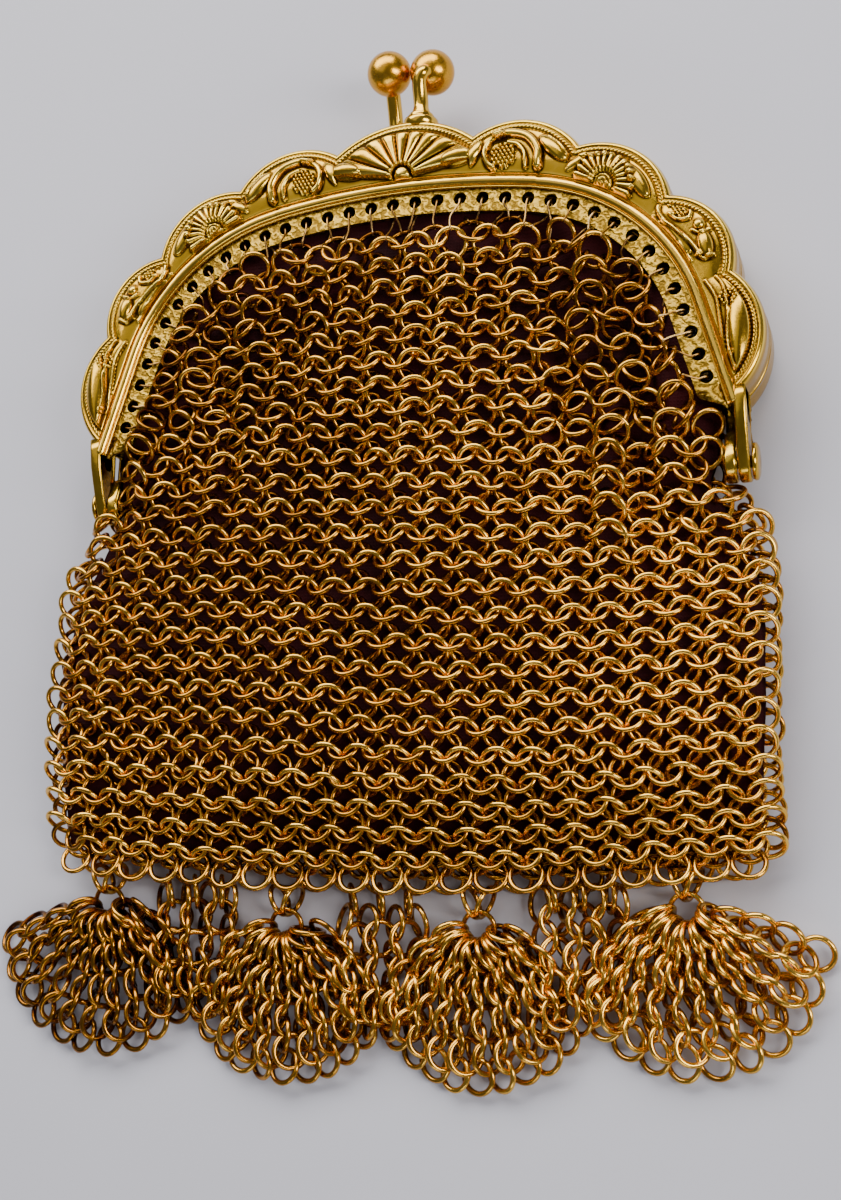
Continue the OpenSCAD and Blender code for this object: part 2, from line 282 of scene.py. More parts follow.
def edge_distance(x, y):
    """How far a point lies inside the scalloped outline, and which scallop it is in."""
    x = np.abs(x)
    d = np.stack([r - np.hypot(x - cx, y - cy) for cx, cy, r in SCALLOPS], 0)
    return d.max(0), d.argmax(0)


def outline_reach(p, n):
    """Distance along n from p to the scalloped outline."""
    best = np.full(len(p), 0.0)
    for cx, cy, r in SCALLOPS:
        for sign in ((1,) if cx == 0 else (1, -1)):
            rel = p - np.array([sign * cx, cy])
            b = np.sum(rel * n, 1)
            disc = b * b - (np.sum(rel * rel, 1) - r * r)
            v = np.where(disc > 0, -b + np.sqrt(np.maximum(disc, 0)), 0)
            best = np.maximum(best, v)
    return best


# ---- materials
WEAR = 0.36             # how far clouds of wear shift the tone of the metal


def add_node(nt, kind, **values):
    """A new shader node with some of its inputs set; an underscore stands for a space."""
    n = nt.nodes.new("ShaderNode" + kind)
    for key, value in values.items():
        n.inputs[key.replace("_", " ")].default_value = value
    return n


def material(name):
    m = bpy.data.materials.new(name)
    m.use_nodes = True
    nt = m.node_tree
    nt.nodes.clear()
    out = add_node(nt, "OutputMaterial")
    bsdf = add_node(nt, "BsdfPrincipled")
    nt.links.new(bsdf.outputs[0], out.inputs[0])
    return m, nt, bsdf


def noise_node(nt, coords, scale, detail=3.0, rough=0.55):
    n = add_node(nt, "TexNoise", Scale=scale, Detail=detail, Roughness=rough)
    nt.links.new(coords.outputs["Object"], n.inputs["Vector"])
    return n.outputs["Fac"]


def wave_node(nt, coords, direction, scale, distortion, detail=(2.0, 1.0)):
    w = add_node(nt, "TexWave", Scale=scale, Distortion=distortion, Detail=detail[0], Detail_Scale=detail[1])
    w.bands_direction = direction
    nt.links.new(coords.outputs["Object"], w.inputs["Vector"])
    return w.outputs["Fac"]


def math_node(nt, kind, *values):
    """A maths node; each value is a number to set or an output to join."""
    m = add_node(nt, "Math")
    m.operation = kind
    for k, value in enumerate(values):
        if isinstance(value, float):
            m.inputs[k].default_value = value
        else:
            nt.links.new(value, m.inputs[k])
    return m.outputs[0]


def ramp_node(nt, source, stops):
    r = add_node(nt, "ValToRGB")
    els = r.color_ramp.elements
    while len(els) < len(stops):
        els.new(0.5)
    for e, (pos, col) in zip(els, stops):
        e.position = pos
        e.color = (*col, 1)
    nt.links.new(source, r.inputs[0])
    return r.outputs[0]


def bump_node(nt, bsdf, height, strength, distance):
    b = add_node(nt, "Bump", Strength=strength, Distance=distance)
    nt.links.new(height, b.inputs["Height"])
    nt.links.new(b.outputs[0], bsdf.inputs["Normal"])


def metal(name, dark, mid, light, rough, bump, grain, hatch=0.0):
    """Gilt metal: tone from the mesh (hollows dark, crests bright; on the rings this is painted shade and
    painted highlight), clouds of wear, fine scratches.
    """
    m, nt, bsdf = material(name)
    co = add_node(nt, "TexCoord")
    tone = add_node(nt, "Attribute")
    tone.attribute_name = "tone"
    cloud = noise_node(nt, co, 260.0)
    fine = noise_node(nt, co, grain, 5.0, 0.7)
    shade = math_node(nt, "MULTIPLY_ADD", cloud, WEAR, tone.outputs["Fac"])
    shade = math_node(nt, "SUBTRACT", shade, WEAR / 2)
    height = fine
    if hatch:
        lines = wave_node(nt, co, "DIAGONAL", 420.0, 9.0, (3.0, 3.0))
        shade = math_node(nt, "MULTIPLY_ADD", lines, hatch, shade)
        shade = math_node(nt, "SUBTRACT", shade, hatch / 2)
        height = math_node(nt, "ADD", lines, fine)
    nt.links.new(ramp_node(nt, shade, [(0.05, dark), (0.5, mid), (0.95, light)]), bsdf.inputs["Base Color"])
    bsdf.inputs["Metallic"].default_value = 1.0
    rr = add_node(nt, "MapRange", From_Min=0.25, From_Max=0.75, To_Min=rough * 0.75, To_Max=rough * 1.35)
    nt.links.new(fine, rr.inputs["Value"])
    nt.links.new(rr.outputs[0], bsdf.inputs["Roughness"])
    bump_node(nt, bsdf, height, bump, 0.00005)
    return m


def cloth_material():
    """Dark maroon silk: fine crossed threads, a little sheen. Its near-black colour is partly the lining's
    own and partly painted shade for the inside of the bag.
    """
    m, nt, bsdf = material("lining_silk")
    co = add_node(nt, "TexCoord")
    stops = [(0.3, (0.013, 0.0009, 0.0014)), (0.75, (0.036, 0.0022, 0.0034))]
    nt.links.new(ramp_node(nt, noise_node(nt, co, 120.0), stops), bsdf.inputs["Base Color"])
    bsdf.inputs["Roughness"].default_value = 0.8
    bsdf.inputs["Specular IOR Level"].default_value = 0.12
    threads = [wave_node(nt, co, axis, 900.0, 1.5) for axis in ("X", "Y")]
    bump_node(nt, bsdf, math_node(nt, "MAXIMUM", *threads), 0.5, 0.00006)
    return m


def floor_material():
    m, nt, bsdf = material("pale_table")
    co = add_node(nt, "TexCoord")
    stops = [(0.2, (0.50, 0.50, 0.56)), (0.8, (0.55, 0.55, 0.61))]
    nt.links.new(ramp_node(nt, noise_node(nt, co, 9.0, 4.0), stops), bsdf.inputs["Base Color"])
    bsdf.inputs["Roughness"].default_value = 0.6
    return m


GILT = metal("gilt_embossed", (0.070, 0.028, 0.003), (0.56, 0.32, 0.024), (0.98, 0.66, 0.10),
             0.20, 0.25, 2600.0)
POLISHED = metal("gilt_polished", (0.18, 0.07, 0.008), (0.72, 0.42, 0.040), (0.98, 0.66, 0.13),
                 0.17, 0.08, 1800.0)
WORN = metal("gilt_worn", (0.12, 0.032, 0.003), (0.64, 0.32, 0.026), (0.98, 0.66, 0.12),
             0.24, 0.6, 1100.0)
MATT = metal("gilt_matt", (0.06, 0.026, 0.004), (0.32, 0.19, 0.018), (0.70, 0.45, 0.07),
             0.34, 1.0, 3600.0, 0.55)
RINGS = metal("ring_wire", (0.075, 0.020, 0.003), (0.45, 0.195, 0.020), (0.95, 0.55, 0.080),
              0.21, 0.03, 5200.0)
THREAD = metal("sewing_wire", (0.13, 0.06, 0.015), (0.36, 0.20, 0.06), (0.66, 0.45, 0.19),
               0.28, 0.1, 2200.0)
CLOTH = cloth_material()


# ---- embossing of the scallops
def stroke(x, y, pts, width, height, n=40):
    """A raised line through points."""
    line = spline(pts, n)
    out = np.full(x.shape, 1e9)
    a, d = line[:-1], np.diff(line, axis=0)
    lo, hi = line.min(0) - width, line.max(0) + width
    near = (x > lo[0]) & (x < hi[0]) & (y > lo[1]) & (y < hi[1])
    if not near.any():
        return np.zeros(x.shape)
    px, py = x[near][:, None], y[near][:, None]
    t = np.clip(((px - a[:, 0]) * d[:, 0] + (py - a[:, 1]) * d[:, 1]) / (d ** 2).sum(1), 0, 1)
    dist = np.hypot(px - a[:, 0] - t * d[:, 0], py - a[:, 1] - t * d[:, 1]).min(1)
    out[near] = dist
    q = np.clip(1 - (out / width) ** 2, 0, 1)
    return height * np.sqrt(q) * smoothstep(0, 0.5, q)


def bead(x, y, cx, cy, r, height):
    q = np.clip(1 - ((x - cx) ** 2 + (y - cy) ** 2) / r ** 2, 0, 1)
    return height * np.sqrt(q)


def lens(x, y, cx, cy, length, width, deg, height):
    """A smooth swelling, long one way."""
    a = math.radians(deg)
    u = ((x - cx) * math.cos(a) + (y - cy) * math.sin(a)) / length
    v = (-(x - cx) * math.sin(a) + (y - cy) * math.cos(a)) / width
    q = np.clip(1 - u * u - v * v, 0, 1)
    return height * np.sqrt(q) * smoothstep(0, 0.25, q)


def seeds(x, y, cx, cy, r, pitch, height):
    """A cluster of small round seeds on a staggered grid."""
    row = np.round((y - cy) / (pitch * 0.87))
    shift = np.where(row % 2 == 0, 0.0, 0.5) * pitch
    col = np.round((x - cx - shift) / pitch)
    qx, qy = cx + shift + col * pitch, cy + row * pitch * 0.87
    inside = np.hypot(qx - cx, qy - cy) < r
    q = np.clip(1 - ((x - qx) ** 2 + (y - qy) ** 2) / (pitch * 0.47) ** 2, 0, 1)
    return np.where(inside, height * np.sqrt(q), 0)


def rays(x, y, cx, cy, up_deg, spread, count, r0, r1, height, sharp=1.0):
    """Flutes fanning out of a hub."""
    dx, dy = x - cx, y - cy
    rho = np.hypot(dx, dy)
    ang = (np.degrees(np.arctan2(dy, dx)) - up_deg + 180) % 360 - 180
    f = (ang / spread + 0.5) * count
    inside = (f > 0) & (f < count)
    w = np.abs((f % 1) - 0.5) * 2
    prof = np.sqrt(np.clip(1 - w ** 2, 0, 1)) ** sharp
    tip = r1 * (1 - 0.10 * w ** 2)
    fade = smoothstep(r0 * 0.7, r0 * 1.6, rho) * smoothstep(0, 0.45, tip - rho)
    return np.where(inside, height * prof * fade, 0)


def relief(x, y, v):
    """Height of the embossed face over its edge; v is the distance outside the line of holes."""
    x = np.abs(x)
    d, which = edge_distance(x, y)
    cx, cy, rad = np.moveaxis(np.array(SCALLOPS)[which], -1, 0)
    arc = np.arctan2(y - cy, x - cx) * rad
    inner = np.maximum(v - RIB_OUT, 0)
    h = 0.62 * np.sqrt(np.clip(1 - (1 - np.clip(d / 0.55, 0, 1)) ** 2, 0, 1))
    h += 0.34 * smoothstep(0.5, 2.6, d) * smoothstep(-0.4, 1.6, inner)
    h -= 0.12 * np.exp(-((d - 0.66) / 0.11) ** 2) + 0.12 * np.exp(-((d - 1.22) / 0.12) ** 2)
    rope = np.clip(1 - ((d - 0.93) / 0.24) ** 2, 0, 1)
    h += 0.17 * np.sqrt(rope) * (0.55 + 0.45 * np.cos(2 * np.pi * (arc - 0.9 * d) / 0.46))
    field = smoothstep(1.2, 1.5, d) * smoothstep(0.0, 0.35, inner)
    m = np.zeros(x.shape)
    # middle scallop: a shell of flutes over a small hub
    petals = rays(x, y, 0.0, 32.3, 90, 166, 9, 1.0, 12.0, 0.46, 0.8) * smoothstep(1.35, 1.9, d)
    petals = petals * (1 - 0.45 * smoothstep(5.0, 8.0, np.hypot(x, y - 32.3)))
    petals += lens(x, y, 6.6, 33.7, 2.3, 0.9, 14, 0.30)
    petals += bead(x, y, 0, 32.5, 0.85, 0.34) - 0.20 * (np.abs(np.hypot(x, y - 32.5) - 1.0) < 0.12)
    m = np.where(which == 0, petals, m)
    # second scallop: scroll round a cluster of seeds
    g = stroke(x, y, [(14.6, 31.6), (14.7, 33.2), (13.6, 34.9), (11.8, 35.6), (10.4, 35.4)], 0.52, 0.46)
    g += stroke(x, y, [(13.3, 31.7), (13.3, 33.0), (12.6, 34.1), (11.6, 34.5)], 0.28, 0.30)
    g += seeds(x, y, 11.0, 33.2, 1.3, 0.44, 0.30)
    g += stroke(x, y, [(11.0, 35.3), (9.7, 34.9), (9.1, 33.8), (9.3, 32.6), (9.9, 32.0)], 0.34, 0.40)
    g += lens(x, y, 7.75, 33.9, 1.75, 0.85, 62, 0.44)
    g += lens(x, y, 16.3, 33.3, 2.2, 0.85, -48, 0.46)
    g += stroke(x, y, [(15.6, 35.0), (16.9, 33.9), (17.8, 32.4)], 0.16, 0.2)
    m = np.where(which == 1, g, m)
    # third scallop: small sun of fine rays
    g = rays(x, y, 21.3, 28.8, 54, 215, 15, 1.05, 3.5, 0.40, 0.7)
    g += bead(x, y, 21.3, 28.8, 0.95, 0.36)
    g += 0.1 * np.cos(2 * np.pi * np.hypot(x - 21.3, y - 28.8) / 0.42) * (np.hypot(x - 21.3, y - 28.8) < 0.85)
    g += lens(x, y, 24.9, 28.5, 2.2, 0.85, -62, 0.36)
    g += lens(x, y, 20.6, 32.0, 2.0, 0.55, -8, 0.22)
    g += lens(x, y, 18.6, 31.5, 1.5, 0.5, 35, 0.2)
    m = np.where(which == 2, g, m)
    # fourth scallop: long scroll with seeds
    g = stroke(x, y, [(28.9, 26.2), (27.6, 26.3), (26.9, 25.4), (27.3, 24.2), (28.6, 22.9), (30.0, 21.4),
                      (31.0, 19.9)], 0.26, 0.32)
    g += stroke(x, y, [(26.4, 24.6), (27.4, 23.0), (28.9, 21.3), (30.0, 19.6)], 0.2, 0.24)
    g += stroke(x, y, [(27.9, 25.6), (29.1, 25.9), (30.0, 25.1), (29.9, 24.0), (28.8, 23.9), (28.0, 24.6)],
                0.2, 0.26)
    g += seeds(x, y, 29.0, 24.9, 0.8, 0.4, 0.24)
    g += bead(x, y, 30.9, 23.2, 0.62, 0.3)
    g += stroke(x, y, [(30.2, 22.6), (31.0, 22.2), (31.9, 22.6)], 0.2, 0.24)
    g += lens(x, y, 31.5, 21.0, 1.6, 0.8, -78, 0.44)
    g += lens(x, y, 28.5, 22.2, 2.6, 0.62, -50, 0.30)
    g += stroke(x, y, [(30.6, 20.0), (31.4, 19.5), (32.3, 19.9)], 0.18, 0.22)
    m = np.where(which == 3, g, m)
    # fifth scallop: long leaf running down to the leg
    g = lens(x, y, 34.6, 12.2, 4.8, 1.25, -93, 0.52)
    g += stroke(x, y, [(31.9, 18.2), (33.1, 16.6), (33.5, 14.2), (33.4, 11.0), (34.0, 8.2)], 0.2, 0.28)
    g += stroke(x, y, [(31.2, 17.6), (32.4, 15.4), (32.8, 12.6), (33.2, 9.4), (33.9, 7.2)], 0.17, 0.24)
    g += stroke(x, y, [(32.9, 17.9), (34.2, 16.4), (35.0, 15.6)], 0.2, 0.24)
    g += seeds(x, y, 33.6, 15.4, 0.9, 0.4, 0.18)
    g += bead(x, y, 33.6, 9.6, 0.4, 0.2)
    m = np.where(which == 4, g, m)
    return h + 1.6 * field * m


CREST, CREST_LEFT = 4.25, 0.5


def around(a):
    """Sum of the four neighbours of every inner point of a grid."""
    return a[2:, 1:-1] + a[:-2, 1:-1] + a[1:-1, 2:] + a[1:-1, :-2]


def frame_face(name, sign, body, node):
    """The scalloped, embossed channel of one half; sign 1 is the front, -1 the back."""
    s_end = TOP_LEN + COR_LEN + 10.4
    n_u, n_v = 1160, 74
    s = np.linspace(-s_end, s_end, n_u)
    p, n = arch(s)
    reach = np.maximum(outline_reach(p, n), RIB_OUT + 0.35)
    f = np.linspace(0, 1, n_v)
    f = f + 0.05 * np.sin(2 * np.pi * f)
    v = RIB_OUT + (reach[:, None] - RIB_OUT) * f[None]
    top = beside(p[:, None], n[:, None], v, 0.0)
    z = FACE_Z + relief(top[..., 0], top[..., 1], v)
    z[:, 0] -= 0.10
    if sign < 0:
        # the back half rests on its crests, so they stay over the table
        z = np.where(z > CREST, CREST + CREST_LEFT * np.tanh((z - CREST) / CREST_LEFT), z)
    top[..., 2] = z
    # the rolled edge, the skirt, its inside and the underside
    rows = [top]
    for inset, height in ((-0.07, UNDER_Z), (-0.10, 2.6), (-0.06, 1.9), (-0.02, 1.2), (0.0, 0.75),
                          (-0.10, 0.5), (-0.12, 0.28), (-0.02, 0.12), (0.22, 0.10), (0.42, 0.2),
                          (0.45, 0.6), (0.46, 1.8), (0.5, 2.75)):
        rows.append(beside(p, n, reach - inset, height)[:, None])
    inner_reach = np.maximum(reach - 0.6, RIB_OUT + 0.1)
    for k in range(6):
        rows.append(beside(p, n, RIB_OUT + (inner_reach - RIB_OUT) * (1 - k / 5), UNDER_Z)[:, None])
    sec = np.concatenate(rows, 1)
    verts, faces = swept(sec, sign)
    # hollows dark, crests bright
    blur = np.zeros_like(z)
    blur[1:-1, 1:-1] = around(z) / 4 - z[1:-1, 1:-1]
    for _ in range(5):
        blur[1:-1, 1:-1] = (around(blur) + 2 * blur[1:-1, 1:-1]) / 6
    tone = np.full(sec.shape[:2], 0.42)
    tone[:, :n_v] = np.clip(0.46 - blur * 40.0, 0.0, 1.0)
    tone = np.concatenate([tone.ravel(), [0.4, 0.4]])
    place(build(name, verts, faces, GILT, {"tone": tone}), body, node)


def rib(name, sign, body, node):
    """The plain polished rib, with a fine line each side."""
    s_end = TOP_LEN + COR_LEN + 11.2
    s = np.linspace(-s_end, s_end, 420)
    p, n = arch(s)
    prof = [(1.0, 2.6), (1.0, 3.3), (1.03, 3.52), (1.10, 3.60), (1.18, 3.55), (1.24, 3.46)]
    for k in range(13):
        a = math.pi * (1 - k / 12)
        prof.append((1.78 + 0.52 * math.cos(a), 3.48 + 0.46 * math.sin(a)))
    prof += [(2.32, 3.44), (2.37, 3.50), (2.46, 3.52), (2.52, 3.40), (2.52, 2.6)]
    prof = np.array(prof)
    sec = beside(p[:, None], n[:, None], prof[:, 0], prof[:, 1])
    low = np.array([0.1 if z < 3.47 else 0.62 for _, z in prof])
    tone = np.concatenate([np.broadcast_to(low, sec.shape[:2]).ravel(), [0.4, 0.4]])
    place(build(name, *swept(sec, sign), POLISHED, {"tone": tone}), body, node)


def sewing_strip(name, sign, body, node):
    """The recessed strip, each hole cut through it."""
    k = 40
    ang = np.linspace(0, 2 * np.pi, k, endpoint=False) + np.pi / k
    half, lo, hi = HOLE_PITCH / 2, STRIP_IN, STRIP_OUT
    ca, sa = np.cos(ang), np.sin(ang)
    t_side = np.where(np.abs(ca) > 1e-9, half / np.maximum(np.abs(ca), 1e-9), 1e9)
    t_end = np.where(sa > 0, hi / np.maximum(sa, 1e-9), -lo / np.maximum(-sa, 1e-9))
    t = np.minimum(t_side, t_end)
    bat = Batch()
    zt, zb = STRIP_TOP, STRIP_UNDER
    for i in range(-HOLES, HOLES):
        s0 = (i + 0.5) * HOLE_PITCH
        loops = []
        for mix, rr, z in ((1.0, 0.0, zt), (0.55, 0.0, zt), (0.2, 0.0, zt), (0.0, 0.05, zt),
                           (0.0, 0.0, zt - 0.06), (0.0, 0.0, zb), (1.0, 0.0, zb)):
            u = ca * (HOLE_R + rr) * (1 - mix) + ca * t * mix
            w = sa * (HOLE_R + rr) * (1 - mix) + sa * t * mix
            p, n = arch(s0 + u)
            loops.append(beside(p, n, w, z))
        v = np.concatenate(loops)
        v[:, 2] = AXIS_Z + sign * v[:, 2]
        f = grid_faces(7, k, False, True)
        if sign > 0:
            f = f[:, ::-1]
        tone = np.concatenate([np.full(k, q) for q in (0.45, 0.5, 0.55, 0.75, 0.2, 0.05, 0.3)])
        bat.add(v, f, tone)
    # plain ends and the two long edges
    for side in (-1, 1):
        s = np.linspace(HOLES * HOLE_PITCH, HOLES * HOLE_PITCH + 2.5, 12) * side
        p, n = arch(s)
        inner = lo + (hi - 0.15 - lo) * smoothstep(0, 1, np.linspace(0, 1, 12)) ** 1.3
        prof = [(inner, zb), (inner, zt), ((inner + hi) / 2, zt), (hi, zt), (hi, zb)]
        v = np.stack([beside(p, n, a, AXIS_Z + sign * b) for a, b in prof], 1)
        f = grid_faces(len(s), len(prof), False, True)
        bat.add(v, f if side * sign > 0 else f[:, ::-1], 0.45)
    s = np.linspace(-HOLES * HOLE_PITCH, HOLES * HOLE_PITCH, 300)
    p, n = arch(s)
    for a, flip in ((lo, 1), (hi, -1)):
        v = np.stack([beside(p, n, a, AXIS_Z + sign * b) for b in (zb, zt)], 1)
        f = grid_faces(len(s), 2)
        bat.add(v, f if flip * sign > 0 else f[:, ::-1], 0.35)
    place(bat.make(name, MATT, smooth=False), body, node)


# ---- hinges
EAR_R, LEG_T, LEG_BEVEL = 2.0, 1.15, 0.26
LEG_TOP_Y, LEG_FAR_Z = 6.6, 3.95


def ear_outline(sign):
    """(y, z) outline of a hinge leg: a round ear about the rivet, and an arm up to the scallops."""
    arc = [(EAR_R * math.cos(a), EAR_R * math.sin(a))
           for a in np.linspace(math.radians(120), math.radians(300), 26)]
    arm = [(2.4, -1.3), (3.2, 0.12), (4.4, 0.14), (LEG_TOP_Y, 0.14), (LEG_TOP_Y, LEG_FAR_Z), (5.4, LEG_FAR_Z),
           (3.6, LEG_FAR_Z - 0.35), (2.0, 3.0), (0.4, 2.35)]
    return [(y, sign * z + AXIS_Z) for y, z in arc + arm]


def legs(name, sign, body, x_out):
    """Both hinge legs of one half, as rounded plates."""
    bat = Batch()
    for side in (-1, 1):
        x0, x1 = sorted((side * x_out, side * (x_out + LEG_T)))
        bat.add(*slab(ear_outline(sign), x0, x1, LEG_BEVEL), tone=0.55)
    place(bat.make(name, GILT), body, None)


# ---- the ring mesh
W_Y = [12.0, 6.0, 2.0, -1.0, -5.0, -9.0, -16.0, -23.0, -29.0, -35.0, -38.5, -42.0]
W_X = [33.0, 32.6, 32.5, 33.4, 35.8, 37.4, 38.5, 38.6, 38.2, 37.8, 37.0, 35.8]
TOP_ROW_Y, BOTTOM_Y = 25.6, -37.3
EDGE_ROW = -3.15        # where the last ring of a row lies, outward from the line of holes


def belly(y):
    """Half the distance between the front and back sheets."""
    return 3.45 - 2.25 * smoothstep(-25, -40, y)


def middle(y):
    """Height of the bag's middle over the parting plane: its lower end lies down on the table."""
    return -2.35 * smoothstep(-25, -40, y)


def half_width(y):
    return np.interp(-np.asarray(y, float), [-a for a in W_Y], W_X)


def drape_shift(y):
    return -0.45 * smoothstep(4, 0, y) - 0.85 * smoothstep(-2, -22, y)


def pleat(x, y, back):
    """Vertical folds of the mesh where it is gathered into the frame."""
    k = 1.7 if back else 0.0
    depth = 0.66 * smoothstep(-16, 3, y) * (0.35 + 0.65 * smoothstep(6, 26, np.abs(x)))
    depth = depth * (1 + 0.6 * smoothstep(10, 18, x))
    fold = np.sin(2 * np.pi * (x + 0.18 * y) / 7.1 + 0.9 + k) + 0.35 * np.sin(2 * np.pi * x / 4.3 + k)
    slow = 0.30 * np.sin(0.17 * x + 0.11 * y + k) + 0.22 * np.sin(0.31 * x - 0.23 * y + 2 * k)
    return depth * fold * 0.8 + slow * smoothstep(-39, -30, y) * 0.9


def sheet_height(x, y, inset=0.0, flat=(2.95, 0.45)):
    """Height of a sheet over the bag's middle, before pleats: flat at the frame, a swelling pouch below."""
    w = half_width(y) - inset
    q = np.clip(np.abs(x) / w, 0, 1)
    zs = (belly(y) - inset) * (1 - q ** 2.6) ** (1 / 2.4)
    m = smoothstep(7, -3, y)
    return (1 - m) * (flat[0] + flat[1] * (1 - q ** 2)) + m * zs


def bag_rows(back):
    """Places of all rings of one sheet: rows from the top edge to the bottom."""
    ys = np.linspace(TOP_ROW_Y, BOTTOM_Y, 900)
    up = -1.0 if back else 1.0
    run = length_along(ys, middle(ys) * up + sheet_height(np.zeros(900), ys))
    rows = int(round(run[-1] / ROW_STEP))
    out = []
    for k in range(rows + 1):
        pair = PAIR if k % 2 == 0 else -PAIR
        y0 = float(np.interp(k * run[-1] / rows + pair, run, ys))
        y1 = y0 - 0.3
        x = float(half_width(y0)) * np.sin(np.linspace(0, np.pi / 2, 320))
        z = sheet_height(x, y0)
        slope = (z - sheet_height(x, y1) + up * (float(middle(y0)) - float(middle(y1)))) / (y0 - y1)
        for side in (-1, 1):
            zz = z + pleat(side * x, y0, back) * smoothstep(0.0, 2.2, z)
            ln = length_along(x, zz)
            if (k + back) % 2:
                first = 0.5 * PITCH
            else:
                first = PITCH if side < 0 else 0.0
            at = np.arange(first, ln[-1] - 0.24 * PITCH, PITCH)
            px, pz, sl = (np.interp(at, ln, w) for w in (x, zz, slope))
            tx, tz = (np.interp(at + 0.5, ln, w) - np.interp(at - 0.5, ln, w) for w in (x, zz))
            one = np.ones(len(at))
            out.append(np.stack([k * one, side * px, y0 * one, pz, side * tx, tz, sl], 1))
    row, x, y, z, tx, tz, slope = np.concatenate(out).T
    zero = np.zeros(len(x))
    tan = unit(np.stack([tx, zero, tz], 1))
    keep = np.where(y > 5.0, arch_inside(x, y) > 3.35, np.abs(x) < np.where(y > -2.0, 31.5, 99))
    # beside the frame each row is drawn out to the sewing strip
    for k in range(rows + 1):
        for side in (-1, 1):
            sel = keep & (row == k) & (x * side > 0) & (y > 5.0)
            if sel.any():
                far = np.abs(x[sel]).max()
                reach = float(arch_half(y[sel][0], EDGE_ROW))
                pull = np.clip(reach / far, 0.92, 1.10) - 1
                x[sel] *= 1 + pull * (np.abs(x[sel]) / far) ** 0.5
    # lower rows hang in a curve, and the middle rows run a little downhill to the right
    sag = -2.3 * smoothstep(6, -40, y) * np.clip(1 - (x / 40) ** 2, 0, 1)
    hill = -0.07 * x * np.clip(1 - (x / 39) ** 2, 0, 1) * smoothstep(18, 2, y) * smoothstep(-38, -22, y)
    x = x + drape_shift(y)
    dn = unit(np.stack([zero, zero - 1, -slope], 1))
    dn = unit(dn - tan * np.sum(dn * tan, 1, keepdims=True))
    tan = tan * np.where(tan[:, :1] < 0, -1.0, 1.0)
    nrm = np.cross(dn, tan)
    c = np.stack([x, y + sag + hill, z], 1)
    if back:
        flip = np.array([1.0, 1.0, -1.0])
        c, tan, dn, nrm = c * flip, tan * flip, dn * flip, nrm * flip
    c[:, 2] += AXIS_Z + middle(y)
    return row[keep], c[keep], tan[keep], dn[keep], nrm[keep]


def loosen(c, a, b, n, amount, rng):
    """Small differences from ring to ring: shift, twist and lean."""
    k = len(c)
    amount = np.broadcast_to(amount, (k,))[:, None]
    c = c + rng.normal(0, 0.07, (k, 3)) * (0.5 + amount)
    twist = rng.normal(0, 0.10, (k, 1)) * (0.4 + amount)
    lean = rng.normal(0, 0.09, (k, 1)) * (0.4 + amount)
    a2 = unit(a + twist * n + rng.normal(0, 0.05, (k, 1)) * amount * b)
    b2 = unit(b + lean * n)
    b2 = unit(b2 - a2 * np.sum(a2 * b2, 1, keepdims=True))
    return c, a2, b2


TABLE_CLEAR = 0.05
# painted shade on wire low in the mesh, painted highlight on wire on top
PAINTED_DEPTH_SHADE = 0.20        # how much darker the wire is low in the mesh, and how much brighter on top


def on_table(c, a, b, radius, wire):
    """Rings lifted where they would sink into the table."""
    low = c[:, 2] - radius * np.hypot(a[:, 2], b[:, 2]) - wire
    return c + np.maximum(TABLE_CLEAR - low, 0)[:, None] * np.array([0.0, 0.0, 1.0])


def ring_piece(name, c, a, b, tone, rng, radius=RING_R, wire=WIRE_R, out=None):
    """Rings as one object; out is the way out of the sheet: wire on that side gets a painted highlight, wire
    on the far side painted shade.
    """
    k = len(c)
    c = on_table(c, a, b, radius, wire)
    rr = radius * (1 + rng.normal(0, 0.018, k))
    v, f, per = tori(c, a, b, rr, wire, rng.uniform(0, 6.28, k), rng.normal(0, 0.018, k))
    out = np.array([[0.0, 0.0, 1.0]]) if out is None else out
    rise = np.sum((v - np.repeat(c, per, 0)) * np.repeat(np.broadcast_to(out, c.shape), per, 0), 1)
    # painted light: wire towards out is lighter, wire deep in the mesh is darker
    t = np.repeat(tone + rng.normal(0, 0.07, k), per) + PAINTED_DEPTH_SHADE * (smoothstep(-0.7, 0.5, rise) * 2 - 1)
    return build(name, v, f, RINGS, {"tone": np.clip(t, 0, 1)})


# limits in Y of the bands of rows that make one piece each
BANDS = [40.0, 17.0, 8.0, -2.0, -12.0, -22.0, -32.0, -37.2, -60.0]


